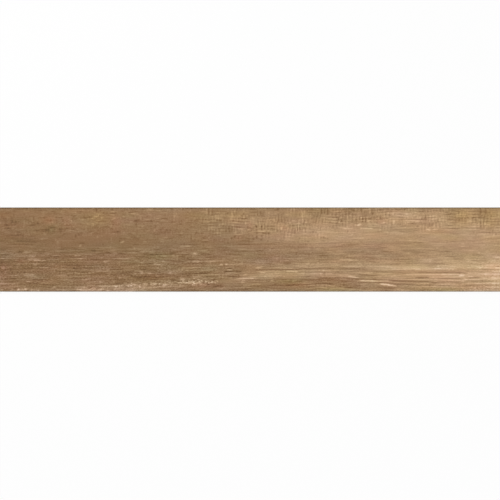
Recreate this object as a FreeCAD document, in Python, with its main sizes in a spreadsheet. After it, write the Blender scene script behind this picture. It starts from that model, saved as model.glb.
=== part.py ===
"""Wood look porcelain plank tile: one slab, pressed, fired and rectified.

The slab lies on its back with the printed face up. The origin is the middle of the back, X runs along the plank,
Y across it and Z up through its thickness. Sizes are in millimetres.
"""

import FreeCAD
import Part
import Sketcher
import math
import os

# The driving dimensions: name, value and meaning. Lengths are in millimetres and the draft is in degrees.
DIMENSIONS = (
    ("length", "1200", "long side of the rectified slab"),
    ("width", "200", "short side of the rectified slab"),
    ("thickness", "9", "from the plane of the back ribs to the printed face"),
    ("face_bevel", "0.8", "leg of the bevel ground around the printed face"),
    ("back_arris", "0.5", "leg of the arris taken off around the back"),
    ("back_border", "12", "plain band between the slab's sides and the pressed cells"),
    ("rib", "4", "width of the rib between two cells, at the back plane"),
    ("cell_columns", "20", "count of cells along the plank"),
    ("cell_rows", "3", "count of cells across the plank"),
    ("cell_depth", "0.5", "depth of a pressed cell under the ribs"),
    ("cell_corner", "4", "corner radius of a cell at the back plane"),
    ("cell_draft", "45", "lean of a cell's walls, which lets the slab leave the punch"),
)

# A cell's sides and its pitch follow from the band, the ribs and the counts, so the grid always fills the back.
CELL_LENGTH = "(Sizes.length - 2 * Sizes.back_border - (Sizes.cell_columns - 1) * Sizes.rib) / Sizes.cell_columns"
CELL_WIDTH = "(Sizes.width - 2 * Sizes.back_border - (Sizes.cell_rows - 1) * Sizes.rib) / Sizes.cell_rows"

# How a sketch constraint names the start and end of a line or arc, and the sketch's own origin.
START = 1
END = 2
SKETCH_ORIGIN = (-1, 1)


def add_sizes(document):
    """The sheet of driving dimensions, one to a row: its name, its value under that alias, and its meaning."""
    sheet = document.addObject("Spreadsheet::Sheet", "Sizes")
    for row, (name, value, meaning) in enumerate(DIMENSIONS, start=1):
        sheet.set(f"A{row}", name)
        sheet.set(f"B{row}", value)
        sheet.setAlias(f"B{row}", name)
        sheet.set(f"C{row}", meaning)
    document.recompute()
    return sheet


def origin_feature(body, role):
    """The body's own origin plane or axis with that role."""
    return next(feature for feature in body.Origin.OriginFeatures if feature.Role == role)


def add_back_sketch(body, name):
    """An empty sketch on the plane of the back ribs."""
    sketch = body.newObject("Sketcher::SketchObject", name)
    sketch.AttachmentSupport = (origin_feature(body, "XY_Plane"), [""])
    sketch.MapMode = "FlatFace"
    return sketch


def constrain(sketch, kind, *where, name=None, size=None):
    """Adds a constraint. One with a name is a dimension, and its value follows the expression in size."""
    if name is None:
        sketch.addConstraint(Sketcher.Constraint(kind, *where))
        return
    index = sketch.addConstraint(Sketcher.Constraint(kind, *where, sketch.evalExpression(size)))
    sketch.renameConstraint(index, name)
    sketch.setExpression(f"Constraints.{name}", size)


def add_slab(body):
    """The plain slab: a rectangle centred on the origin, padded up to the printed face."""
    outline = add_back_sketch(body, "SlabOutline")
    half_length = outline.evalExpression("Sizes.length / 2")
    half_width = outline.evalExpression("Sizes.width / 2")
    corners = [
        FreeCAD.Vector(-half_length, -half_width),
        FreeCAD.Vector(half_length, -half_width),
        FreeCAD.Vector(half_length, half_width),
        FreeCAD.Vector(-half_length, half_width),
    ]
    bottom, right, top, left = (
        outline.addGeometry(Part.LineSegment(corner, corners[(turn + 1) % 4]))
        for turn, corner in enumerate(corners)
    )
    for side, following in ((bottom, right), (right, top), (top, left), (left, bottom)):
        constrain(outline, "Coincident", side, END, following, START)
    for side in (bottom, top):
        constrain(outline, "Horizontal", side)
    for side in (right, left):
        constrain(outline, "Vertical", side)
    constrain(outline, "Symmetric", bottom, START, right, END, *SKETCH_ORIGIN)
    constrain(outline, "DistanceX", bottom, START, bottom, END, name="slab_length", size="Sizes.length")
    constrain(outline, "DistanceY", right, START, right, END, name="slab_width", size="Sizes.width")

    slab = body.newObject("PartDesign::Pad", "Slab")
    slab.Profile = outline
    slab.setExpression("Length", "Sizes.thickness")
    return slab


def add_rim_chamfer(body, name, base, pick, leg):
    """A chamfer around the slab's highest or lowest face, as pick says, with its leg bound to the expression."""
    heights = [face.CenterOfMass.z for face in base.Shape.Faces]
    number = heights.index(pick(heights)) + 1
    chamfer = body.newObject("PartDesign::Chamfer", name)
    chamfer.Base = (base, [f"Face{number}"])
    chamfer.setExpression("Size", leg)
    return chamfer


def add_corner_cell(body):
    """The pressed cell in the back's -X, -Y corner: a rounded rectangle sunk into the back on drafted walls."""
    mouth = add_back_sketch(body, "CellMouth")
    radius = mouth.evalExpression("Sizes.cell_corner")
    low_x = mouth.evalExpression("Sizes.back_border - Sizes.length / 2")
    low_y = mouth.evalExpression("Sizes.back_border - Sizes.width / 2")
    high_x = low_x + mouth.evalExpression(CELL_LENGTH)
    high_y = low_y + mouth.evalExpression(CELL_WIDTH)
    centres = [
        FreeCAD.Vector(high_x - radius, high_y - radius),
        FreeCAD.Vector(low_x + radius, high_y - radius),
        FreeCAD.Vector(low_x + radius, low_y + radius),
        FreeCAD.Vector(high_x - radius, low_y + radius),
    ]
    quarter = math.pi / 2
    rounds = [
        Part.ArcOfCircle(Part.Circle(centre, FreeCAD.Vector(0, 0, 1), radius), turn * quarter, (turn + 1) * quarter)
        for turn, centre in enumerate(centres)
    ]
    corners = [mouth.addGeometry(arc) for arc in rounds]
    top, left, bottom, right = (
        mouth.addGeometry(Part.LineSegment(arc.EndPoint, rounds[(turn + 1) % 4].StartPoint))
        for turn, arc in enumerate(rounds)
    )
    for turn, side in enumerate((top, left, bottom, right)):
        constrain(mouth, "Tangent", corners[turn], END, side, START)
        constrain(mouth, "Tangent", side, END, corners[(turn + 1) % 4], START)
    for side in (top, bottom):
        constrain(mouth, "Horizontal", side)
    for side in (left, right):
        constrain(mouth, "Vertical", side)
    for corner in corners[1:]:
        constrain(mouth, "Equal", corners[0], corner)
    constrain(mouth, "Radius", corners[0], name="corner", size="Sizes.cell_corner")
    constrain(mouth, "DistanceX", left, START, right, START, name="cell_length", size=CELL_LENGTH)
    constrain(mouth, "DistanceY", bottom, START, top, START, name="cell_width", size=CELL_WIDTH)
    constrain(
        mouth, "DistanceX", left, START, *SKETCH_ORIGIN, name="end_band", size="Sizes.length / 2 - Sizes.back_border"
    )
    constrain(
        mouth, "DistanceY", bottom, START, *SKETCH_ORIGIN, name="side_band", size="Sizes.width / 2 - Sizes.back_border"
    )

    cell = body.newObject("PartDesign::Pocket", "CornerCell")
    cell.Profile = mouth
    cell.Reversed = True
    cell.setExpression("Length", "Sizes.cell_depth")
    cell.setExpression("TaperAngle", "-Sizes.cell_draft")
    return cell


def add_cell_row(body, name, axis, cell_size, count):
    """A row of cells along one of the body's axes, one rib apart."""
    row = body.newObject("PartDesign::LinearPattern", name)
    row.Direction = (origin_feature(body, axis), [""])
    row.Mode = "Spacing"
    row.setExpression("Offset", f"{cell_size} + Sizes.rib")
    row.setExpression("Occurrences", count)
    return row


def add_cell_grid(body, cell):
    """The corner cell repeated over the whole back, which leaves a lattice of ribs standing between the cells."""
    grid = body.newObject("PartDesign::MultiTransform", "CellGrid")
    grid.Originals = [cell]
    along = add_cell_row(body, "CellsAlong", "X_Axis", CELL_LENGTH, "Sizes.cell_columns")
    across = add_cell_row(body, "CellsAcross", "Y_Axis", CELL_WIDTH, "Sizes.cell_rows")
    grid.Transformations = [along, across]
    body.Tip = grid
    return grid


def make_plank_tile(document):
    """The whole tile, as one body: slab, bevelled face, eased back and the pressed relief of the back."""
    body = document.addObject("PartDesign::Body", "PlankTile")
    body.Label = "plank_tile"
    slab = add_slab(body)
    document.recompute()
    bevelled = add_rim_chamfer(body, "FaceBevel", slab, max, "Sizes.face_bevel")
    document.recompute()
    eased = add_rim_chamfer(body, "BackArris", bevelled, min, "Sizes.back_arris")
    document.recompute()
    cell = add_corner_cell(body)
    document.recompute()
    if cell.Shape.Volume >= eased.Shape.Volume:
        raise RuntimeError("the corner cell cut nothing out of the back")
    add_cell_grid(body, cell)
    document.recompute()
    return body


def check(document, pieces):
    """Stops the run if any object failed, or any piece has no valid shape."""
    for thing in document.Objects:
        if "Invalid" in thing.State or "Error" in thing.State:
            raise RuntimeError(f"{thing.Label} failed: {thing.State}")
    for piece in pieces:
        if piece.Shape.isNull() or not piece.Shape.isValid():
            raise RuntimeError(f"{piece.Label} has no valid shape")


document = FreeCAD.newDocument("PlankTile")
add_sizes(document)
pieces = [make_plank_tile(document)]
check(document, pieces)
os.makedirs("parts", exist_ok=True)
for piece in pieces:
    piece.Shape.exportStep(f"parts/{piece.Label}.step")
    print(piece.Label, piece.Shape.BoundBox, "volume", round(piece.Shape.Volume), "faces", len(piece.Shape.Faces))
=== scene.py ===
"""Wood look porcelain plank tile, face up on a pale floor and seen from straight above."""

import bpy
import numpy as np
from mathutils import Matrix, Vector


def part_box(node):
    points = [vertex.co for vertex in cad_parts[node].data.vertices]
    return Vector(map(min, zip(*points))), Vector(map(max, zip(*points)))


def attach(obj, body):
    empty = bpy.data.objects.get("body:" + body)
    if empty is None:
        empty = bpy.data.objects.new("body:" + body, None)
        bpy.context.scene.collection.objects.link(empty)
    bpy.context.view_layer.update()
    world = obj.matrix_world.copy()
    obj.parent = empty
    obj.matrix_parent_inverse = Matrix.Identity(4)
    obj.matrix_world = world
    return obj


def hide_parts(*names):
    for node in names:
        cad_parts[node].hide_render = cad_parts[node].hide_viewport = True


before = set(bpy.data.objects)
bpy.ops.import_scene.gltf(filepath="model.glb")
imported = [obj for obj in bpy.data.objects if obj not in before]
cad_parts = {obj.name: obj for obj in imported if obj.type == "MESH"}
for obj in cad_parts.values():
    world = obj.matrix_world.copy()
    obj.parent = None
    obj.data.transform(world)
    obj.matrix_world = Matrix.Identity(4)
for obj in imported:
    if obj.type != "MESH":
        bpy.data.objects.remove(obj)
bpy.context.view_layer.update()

# The tile is one slab of porcelain clay, pressed in a steel mould, printed, glazed and fired as one piece.
# Its four sides are ground square, a bevel runs around the face, and the punch leaves a lattice of ribs on
# the back that keys into the adhesive. The face copies a sawn and worn board, furrows and all.
MM = 0.001
low_corner, high_corner = (np.array(corner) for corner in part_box("plank_tile"))
LENGTH, WIDTH, THICKNESS = high_corner - low_corner
FACE_BEVEL = 0.8 * MM
BACK_ARRIS = 0.5 * MM
BACK_BORDER = 12 * MM
RIB = 4 * MM
CELL_COLUMNS = 20
CELL_ROWS = 3
CELL_DEPTH = 0.5 * MM
CELL_CORNER = 4 * MM
CELL_SIDE_STEPS = 8
FACE_STEPS_ALONG = CELL_COLUMNS * CELL_SIDE_STEPS * 3
FACE_STEPS_ACROSS = CELL_ROWS * CELL_SIDE_STEPS * 7

# Where each point of the face lies, in millimetres from its middle, as whole grids. The print and the relief
# are worked out on these, so all their sizes are in millimetres too.
along, across = np.meshgrid(
    np.linspace(-1, 1, FACE_STEPS_ALONG + 1) * (LENGTH / 2 - FACE_BEVEL) / MM,
    np.linspace(-1, 1, FACE_STEPS_ACROSS + 1) * (WIDTH / 2 - FACE_BEVEL) / MM,
    indexing="ij",
)


def smooth_step(start, end, value):
    """0 on the start's side and 1 on the end's side, with a cubic ease between them."""
    part = np.clip((value - start) / (end - start), 0, 1)
    return part * part * (3 - 2 * part)


def patch(x, y, half_length, half_width):
    """A soft oval on the face: a bell of the distance from its middle, counted in its half sizes."""
    return np.exp(-(((along - x) / half_length) ** 2) - ((across - y) / half_width) ** 2)


def drift(along, across, span, band, seed):
    """Smooth random streaks between -1 and 1. Lattice rows lie one band apart. Each row holds random levels
    one span apart, slid by a random part of a span. Levels are eased along a row, then from row to row."""
    draw = np.random.default_rng(seed)
    rows = int(np.ptp(across) / band) + 3
    columns = int(np.ptp(along) / span) + 4
    levels = draw.uniform(-1, 1, (rows, columns))
    slide = draw.uniform(0, 1, rows)
    step = (across - across.min()) / band
    row = np.floor(step).astype(int)

    def level_on(of_row):
        place = (along - along.min()) / span + slide[of_row]
        column = np.floor(place).astype(int)
        ease = smooth_step(0, 1, place - column)
        return levels[of_row, column] * (1 - ease) + levels[of_row, column + 1] * ease

    ease = smooth_step(0, 1, step - row)
    return level_on(row) * (1 - ease) + level_on(row + 1) * ease


def arch(x, y):
    """How far the grain is lifted: a wide bell along the plank and a narrow one on top of it, both highest
    in the right half. Both grow from nothing at the middle of the width to full height near the low side."""
    wide = 13 * np.exp(-(((x - 150) / 220) ** 2))
    narrow = 4 * np.exp(-(((x - 180) / 60) ** 2)) * smooth_step(-40, -80, y)
    return wide * smooth_step(-10, -85, y) + narrow


# The grain's own coordinate across the plank: the same on all points of one fibre.
grain = across - arch(along, across) + 1.3 * drift(along, across, 210, 55, 11)

# The print's lightness, from 0 for black to 1 for white, as the eye counts it. The board goes from brown
# heartwood on the left to pale sapwood on the right, with broad patches: x, y, half sizes and lift.
tone = np.interp(along, (-594, -320, -60, 60, 300, 594), (0.45, 0.465, 0.49, 0.525, 0.565, 0.61))
BROAD_PATCHES = (
    (-594, 60, 60, 50, -0.020),
    (-370, 84, 180, 24, 0.026),
    (-60, 84, 90, 24, 0.030),
    (165, 46, 185, 27, 0.060),
    (250, 92, 160, 18, -0.022),
    (400, 82, 80, 18, 0.034),
    (560, 90, 110, 20, -0.055),
    (-360, 17, 220, 19, -0.026),
    (-60, 14, 100, 18, -0.024),
    (240, -12, 400, 16, -0.028),
    (-210, -32, 100, 32, -0.016),
    (180, -36, 55, 9, 0.045),
    (450, -40, 230, 14, 0.070),
    (585, -50, 80, 34, 0.075),
    (60, -58, 80, 14, 0.060),
    (200, -57, 70, 8, 0.045),
    (430, -64, 120, 14, 0.045),
    (-480, -36, 150, 22, -0.028),
    (-212, -18, 45, 24, -0.022),
    (-280, -91, 130, 8, 0.010),
    (120, -86, 150, 14, -0.050),
    (360, -92, 160, 9, -0.020),
    (455, -95, 70, 6, -0.030),
    (-265, -66, 80, 9, -0.028),
    (-566, -31, 36, 8, -0.030),
    (-325, -11, 40, 10, -0.026),
    (-473, 46, 14, 9, -0.050),
    (-148, -46, 30, 7, 0.028),
    (30, 60, 35, 14, 0.024),
    (60, -24, 55, 9, -0.026),
    (210, -47, 40, 8, -0.028),
    (330, -20, 50, 14, -0.032),
    (200, -76, 75, 8, -0.030),
    (-290, -88, 60, 6, 0.018),
    (-330, -93, 110, 6, 0.016),
    (-240, -91, 28, 6, 0.045),
    (-53, -77, 22, 6, 0.040),
    (-200, -61, 150, 7, -0.016),
    (60, -88, 55, 9, -0.022),
    (180, -90, 55, 8, 0.022),
    (415, -60, 60, 9, -0.014),
    (180, 18, 60, 14, 0.016),
    (120, 82, 110, 14, 0.014),
    (525, 57, 26, 6, -0.075),
    (320, 68, 20, 11, 0.055),
    (385, 83, 45, 8, 0.040),
    (190, 79, 24, 5, 0.050),
    (38, 33, 24, 9, 0.030),
    (362, 16, 24, 7, -0.045),
    (574, 80, 22, 5, 0.040),
    (-525, -13, 34, 7, 0.030),
    (-582, -48, 18, 10, -0.040),
    (-360, -6, 20, 6, 0.030),
    (-240, 1, 60, 6, 0.035),
    (-8, -12, 22, 10, 0.030),
    (-540, 24, 50, 6, -0.030),
    (-470, 84, 22, 8, -0.028),
    (-370, 61, 75, 5, 0.035),
    (-105, 60, 24, 4, -0.035),
    (-105, 90, 24, 4, -0.040),
    (-105, 7, 26, 4, 0.035),
    (-55, 68, 24, 5, -0.036),
    (-8, 44, 22, 5, -0.040),
    (-8, 72, 22, 4, 0.040),
    (-190, 43, 50, 6, -0.030),
    (240, 37, 110, 9, 0.022),
    (325, 61, 25, 6, 0.026),
    (545, 38, 55, 12, 0.026),
    (455, 28, 80, 6, 0.020),
    (460, 7, 38, 5, 0.026),
    (410, -13, 80, 6, 0.022),
    (180, -13, 60, 5, 0.026),
    (250, 75, 35, 5, -0.028),
    (-540, -86, 60, 12, -0.016),
    (130, -62, 210, 12, -0.008),
)
for *oval, lift in BROAD_PATCHES:
    tone += lift * patch(*oval)

# How lively the fine streaks are: calm in the smooth heartwood and among the long lines of the lower right.
left_part = smooth_step(60, -120, along)
lively = 0.55 + 0.5 * smooth_step(5, -40, across) + 0.35 * smooth_step(-100, 300, along)
lively += 0.12 * smooth_step(8, -12, across) * left_part - 0.5 * patch(-55, -76, 22, 9)
lively += 0.2 * patch(60, -5, 60, 26) + 0.3 * patch(180, -78, 60, 9)
lively -= 0.3 * patch(-380, 20, 150, 24) + 0.25 * patch(400, 10, 200, 26) + 0.85 * patch(430, -62, 220, 34)
lively -= 0.25 * patch(-540, 84, 70, 18) + 0.15 * patch(-60, 66, 60, 30)
lively -= 0.2 * left_part * smooth_step(-5, -25, across)
BROAD_STREAKS = 0.008
NARROW_STREAKS = 0.006
tone += lively * BROAD_STREAKS * drift(along, grain, 260, 9, 21)
tone += lively * NARROW_STREAKS * drift(along, grain, 140, 5, 22)

# The growth rings are a fine ripple in the lower half, stronger on the left. They lie one pitch apart, and a
# slow drift swings them, so that no two lines run alike.
RING_PITCH = 7.1
ring_turn = grain / RING_PITCH + 0.45 * drift(along, grain, 170, 9, 27)
ripple = (0.014 + 0.012 * left_part) * np.cos(2 * np.pi * ring_turn)
tone += lively * smooth_step(12, -25, across) * ripple

# How strong the finest specks of ink are: weaker from the middle on, most of all along the top, but not in
# the lower right corner.
right_part = smooth_step(-150, 40, along)
specked = 0.38 - 0.15 * right_part * (1 - smooth_step(280, 500, along) * smooth_step(-25, -45, across))
specked -= 0.07 * right_part * smooth_step(10, 50, across)

# Where the long lines lie, thin and close together: in the lower right, and fainter before it.
LONG_LINES = 0.014
lined = patch(430, -62, 200, 34) + 0.4 * patch(120, -55, 170, 26)
tone += lined * LONG_LINES * drift(along, grain, 420, 3.2, 25)

# Painted shade darkens the print along the edge, most along the upper side.
EDGE_SHADE_REACH = 2.4
rim = np.minimum(LENGTH / MM / 2 - np.abs(along), WIDTH / MM / 2 - np.abs(across))
tone -= (0.08 + 0.10 * smooth_step(0, 60, across)) * np.exp(-((rim / EDGE_SHADE_REACH) ** 2))

# A stroke has faded away at this many half widths from its middle.
FADED_AT = 2.5


def ink_stroke(layer, start_x, start_y, end_x, end_y, half_width, lift, bow=0.0):
    """Adds a stroke to a layer of the face: a run from start to end whose middle is bowed to its left. It
    fades across the run as a bell of the distance in half widths, and it eases in and out over its ends."""
    reach = FADED_AT * half_width + abs(bow)
    spread = (-reach, reach)
    columns = slice(*np.searchsorted(along[:, 0], np.add(sorted((start_x, end_x)), spread)))
    rows = slice(*np.searchsorted(across[0], np.add(sorted((start_y, end_y)), spread)))
    x = along[columns, rows] - start_x
    y = across[columns, rows] - start_y
    run = np.hypot(end_x - start_x, end_y - start_y)
    cosine, sine = (end_x - start_x) / run, (end_y - start_y) / run
    walked = x * cosine + y * sine
    aside = y * cosine - x * sine - 4 * bow * walked * (run - walked) / run**2
    ease = half_width + 0.1 * run
    ends = smooth_step(-ease, ease, walked) * smooth_step(run + ease, run - ease, walked)
    layer[columns, rows] += lift * ends * np.exp(-((aside / half_width) ** 2))


# How far apart the saw's marks lie where several stand abreast.
SAW_PITCH = 7.0


def scatter(layer, count, where, length, half_width, lift, seed, upright=False, abreast=1):
    """Draws count seeded strokes. The chance of each point of the face to be a stroke's middle is in where.
    Length, half width and lift lie evenly between two bounds. Strokes follow the grain or stand upright,
    and each is drawn abreast times, one pitch of the saw apart."""
    draw = np.random.default_rng(seed)
    chance = np.clip(where, 0, None).ravel()
    spot = draw.choice(chance.size, count, p=chance / chance.sum())
    x = along.ravel()[spot]
    y = across.ravel()[spot]
    half_run = draw.uniform(*length, count) / 2
    widths = draw.uniform(*half_width, count)
    lifts = draw.uniform(*lift, count)
    if upright:
        lean = draw.uniform(-0.6, 0.6, count)
        strokes = np.column_stack((x - lean, y - half_run, x + lean, y + half_run, widths, lifts))
    else:
        rise = (arch(x + half_run, y) - arch(x - half_run, y)) / 2
        strokes = np.column_stack((x - half_run, y - rise, x + half_run, y + rise, widths, lifts))
    aside = np.array((1, 0, 1, 0, 0, 0) if upright else (0, 1, 0, 1, 0, 0)) * SAW_PITCH
    for place in np.arange(abreast) - (abreast - 1) / 2:
        for stroke in strokes + place * aside:
            ink_stroke(layer, *stroke)


# Where the saw left its marks across the grain, where the fibres are brushed out, and where the lime wash of
# an old board is worn down to flecks: a band that climbs from the lower left corner to the middle.
sawn = 0.9 * patch(60, 62, 120, 38) + 0.9 * patch(390, 76, 110, 26) + 0.25 * patch(-420, 66, 140, 34)
sawn += 0.4 * patch(-80, 70, 60, 34) + 0.7 * patch(220, 78, 90, 30) + 0.9 * patch(545, 72, 70, 30)
brushed = smooth_step(12, -25, across) * (0.3 + 0.7 * smooth_step(80, -150, along))
brushed *= 1 - 0.5 * patch(-470, -85, 120, 10) - 0.8 * patch(-55, -76, 24, 10) - 0.7 * patch(20, -90, 60, 10)
mottled = smooth_step(5, 50, across) * smooth_step(80, -120, along)
soft = patch(330, 8, 280, 34) + 0.7 * patch(450, 65, 170, 34)
band_middle = np.interp(along, (-430, -330, -280, -200, -160, -75), (-93, -88, -83, -81, -77.5, -76.5))
half_above = np.interp(along, (-200, -150, -110, -80), (4.5, 6.5, 6.5, 4.0))
half_below = np.interp(along, (-260, -200, -110, -80), (8.5, 6.0, 6.0, 4.0))
worn = np.exp(-(((across - band_middle) / np.where(across > band_middle, half_above, half_below)) ** 2))
worn *= smooth_step(-440, -330, along) * smooth_step(-72, -82, along)
worn *= 0.75 + 0.65 * smooth_step(-190, -130, along)
tone += 0.02 * worn
drawn = np.zeros_like(tone)

# The mottle of the upper left, calmer at the far end and towards the middle.
scatter(drawn, 220, mottled, (5, 18), (1.1, 1.6), (0.02, 0.06), 31)
scatter(drawn, 220, mottled, (5, 18), (1.1, 1.6), (-0.07, -0.02), 32)
scatter(drawn, 320, mottled, (3, 9), (1.1, 1.5), (-0.07, 0.07), 59, upright=True)
drawn *= 1 - 0.4 * patch(-540, 86, 75, 16) - 0.35 * patch(-60, 76, 60, 24)

# Brushed fibres with bright short ends among them, and a brink of streaks where the smooth wood gives way.
scatter(drawn, 300, brushed, (10, 46), (1.0, 1.3), (0.03, 0.065), 63)
scatter(drawn, 250, brushed, (10, 44), (1.0, 1.3), (-0.055, -0.02), 64)
scatter(drawn, 150, brushed, (2, 8), (1.1, 1.5), (0.05, 0.12), 65)
brink = smooth_step(10, 0, across) * smooth_step(-30, -10, across) * left_part
scatter(drawn, 85, brink, (8, 40), (1.0, 1.3), (0.03, 0.07), 66)
scatter(drawn, 85, brink, (8, 40), (1.0, 1.3), (-0.07, -0.03), 67)

# Long soft streaks of the pale wood, and finer ones among the long lines.
scatter(drawn, 120, soft, (20, 80), (1.2, 2.0), (0.01, 0.04), 36)
scatter(drawn, 120, soft, (20, 80), (1.2, 2.0), (-0.04, -0.01), 37)
scatter(drawn, 60, lined, (30, 120), (1.1, 1.4), (0.01, 0.035), 38)
scatter(drawn, 60, lined, (30, 120), (1.1, 1.4), (-0.035, -0.01), 39)

# Saw marks across and along the grain, three abreast, with short nicks between them.
well_sawn = np.clip(sawn - 0.2, 0, 1)
scatter(drawn, 60, well_sawn, (8, 18), (1.1, 1.4), (0.03, 0.07), 51, upright=True, abreast=3)
scatter(drawn, 60, well_sawn, (8, 18), (1.1, 1.4), (-0.08, -0.03), 52, upright=True, abreast=3)
scatter(drawn, 50, well_sawn, (12, 32), (1.1, 1.4), (0.03, 0.07), 53, abreast=3)
scatter(drawn, 50, well_sawn, (12, 32), (1.1, 1.4), (-0.07, -0.03), 54, abreast=3)
scatter(drawn, 220, sawn, (2, 5), (1.1, 1.4), (0.03, 0.09), 57, upright=True)
scatter(drawn, 220, sawn, (2, 5), (1.1, 1.4), (-0.10, -0.03), 58, upright=True)

# Flecks of lime wash, and dark gaps between them.
scatter(drawn, 170, worn, (1.2, 5), (1.0, 1.3), (0.05, 0.16), 55)
scatter(drawn, 110, worn, (3, 10), (1.0, 1.4), (-0.09, -0.03), 56)

# The ink's own saw marks, which the material adds, are fainter where these strokes stand close.
sawn *= 1 - 0.4 * patch(540, 72, 60, 30) - 0.4 * patch(-60, 70, 60, 36)

# The strokes that stand out in the print, listed one by one: start, end, half width and lift, and the bow
# where a line is curved.
FAR_LEFT_STROKES = (
    (-594, -21, -584, -21, 1.3, 0.14),
    (-584, -21.5, -545, -22, 1.3, 0.05),
    (-528, -24, -519, -24, 1.8, 0.17),
    (-516, -24.5, -499, -25.5, 1.8, 0.22),
    (-499, -26.5, -488, -26.5, 1.3, 0.08),
    (-540, -17.5, -495, -18, 2.4, 0.04),
    (-519, -17, -511, -17, 1.8, 0.13),
    (-486, -14, -452, -14, 1.3, -0.10),
    (-482, -23, -452, -22.5, 1.5, 0.12),
    (-536, -73.5, -494, -73.5, 1.3, -0.08),
    (-398, -92.5, -352, -92.5, 1.3, -0.08),
    (-481, -13, -477, -8, 1.6, 0.09),
    (-590, -43.5, -583, -43.5, 1.8, 0.11),
    (-515, -36, -508, -36, 1.7, 0.12),
    (-517, -42, -514, -38, 1.6, -0.07),
    (-506, -41, -503, -36, 1.6, -0.07),
    (-499, -43, -480, -43, 1.2, 0.12),
    (-575, -61, -551, -61, 1.7, 0.11),
    (-536, -60, -511, -60.5, 2.2, 0.06),
    (-531, -63.5, -506, -63.8, 1.8, 0.06),
    (-560, -61.5, -522, -61.5, 1.4, 0.10),
    (-544, -66.4, -480, -66.4, 1.2, -0.08),
    (-594, -24.5, -562, -24.5, 1.8, -0.07),
    (-525, -28.8, -500, -28.8, 1.3, -0.09),
    (-487, -26.5, -425, -26.5, 1.3, -0.07),
    (-498, -37, -425, -37.5, 1.5, -0.05),
    (-420, -16.5, -382, -16.5, 1.3, 0.06),
    (-380, -23.6, -342, -23.6, 1.3, -0.09),
    (-380, -34.5, -342, -34.5, 1.8, -0.08),
    (-380, -42.6, -302, -42.6, 1.3, -0.07),
    (-460, -55.5, -420, -55.5, 1.8, 0.06),
    (-594, -71, -530, -71.2, 1.3, -0.07),
    (-594, -83.5, -562, -83.5, 1.3, -0.06),
    (-498, -85.4, -462, -85.4, 1.3, -0.07),
    (-526, -93.5, -500, -94, 1.8, 0.08),
    (-524, -97, -500, -97.2, 1.6, 0.18),
    (-560, -95.7, -525, -95.7, 1.3, 0.05),
    (-495, -97.2, -420, -97.2, 1.5, 0.06),
    (-460, -94.8, -420, -94.8, 1.4, 0.05),
    (-522, -68.5, -478, -68.5, 1.2, 0.10),
    (-531, -76, -522, -76, 1.4, 0.13),
    (-594, -81, -556, -81, 1.2, 0.13),
    (-552, -94.3, -547, -94.3, 2.3, 0.34),
    (-544, -94.3, -540, -94.3, 1.8, 0.20),
    (-537, -94.2, -530, -94.2, 2.3, 0.32),
    (-500, 93, -480, 93, 1.4, -0.06),
    (-594, -95, -587, -95, 1.8, 0.20),
    (-577, -95, -559, -95.5, 1.8, 0.09),
    (-469, -89.5, -462, -89.5, 1.9, 0.13),
    (-417, -14.5, -403, -14.5, 1.4, 0.13),
    (-406, -21.5, -398, -21.5, 1.5, 0.10),
    (-420, -44, -414, -44, 2.8, -0.10),
    (-366, -52, -330, -52.5, 1.2, 0.07),
    (-366, -45.5, -312, -45, 1.2, 0.06),
    (-348, -28, -337, -28, 1.6, 0.12),
    (-399, -71, -386, -71.5, 1.7, 0.11),
    (-340, -71, -297, -71, 1.6, -0.13),
    (-322, -78, -300, -80, 3.6, -0.08),
    (-358, -78, -349, -78, 1.7, 0.12),
    (-358, -87, -344, -86.5, 1.5, 0.05),
    (-416, -90.5, -385, -89.5, 1.6, 0.12),
    (-415, -95, -345, -95, 1.8, 0.15),
    (-405, -98, -350, -98, 1.5, 0.11),
    (-340, -98, -270, -98, 1.5, 0.12),
    (-380, -57, -342, -57, 1.3, -0.08),
    (-378, -68.7, -342, -68.7, 1.3, -0.06),
    (-340, -54.5, -302, -54.5, 1.3, 0.06),
    (-340, -59.2, -302, -59.2, 1.3, -0.06),
    (-340, -79.5, -302, -79.5, 2.0, -0.05),
    (-380, -81.5, -342, -81.5, 2.2, -0.06),
    (-572, 8.5, -512, 7.5, 1.8, 0.05),
    (-566, 13, -512, 12, 1.6, -0.05),
    (-498, 26.5, -481, 26.5, 1.4, 0.07),
    (-441, 36, -440, 39, 1.8, -0.10),
    (-330, 49, -328, 51, 1.6, -0.10),
    (-330, 54, -329, 57, 1.8, 0.07),
    (-580, 52, -580, 78, 2.8, -0.035),
    (-566, 52, -566, 78, 2.8, -0.045),
    (-495, 43, -484, 43, 1.9, -0.08),
    (-531, 69, -498, 60, 1.6, -0.04),
    (-580, 33, -538, 35, 1.8, -0.06),
    (-556, 20, -502, 18.5, 1.4, -0.06),
    (-556, 47.5, -534, 47.5, 1.4, 0.05),
    (-404, 7, -402, 11, 2.0, 0.17),
    (-405, 15, -394, 15, 1.4, -0.06),
    (-457, 12, -457, 22, 2.6, 0.06),
    (-371, 78.5, -361, 78.5, 1.3, 0.12),
    (-361, 66.5, -345, 66.5, 1.2, -0.07),
    (-370, 53, -334, 53, 1.8, -0.05),
    (-331, 86, -318, 85.5, 1.5, -0.06),
    (-437, 50, -430, 50, 1.5, -0.11),
    (-427, 48.5, -413, 48, 1.4, -0.10),
    (-404, 75, -390, 75, 1.6, -0.06),
    (-308, 16.5, -299, 19.5, 1.6, 0.16),
)
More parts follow.
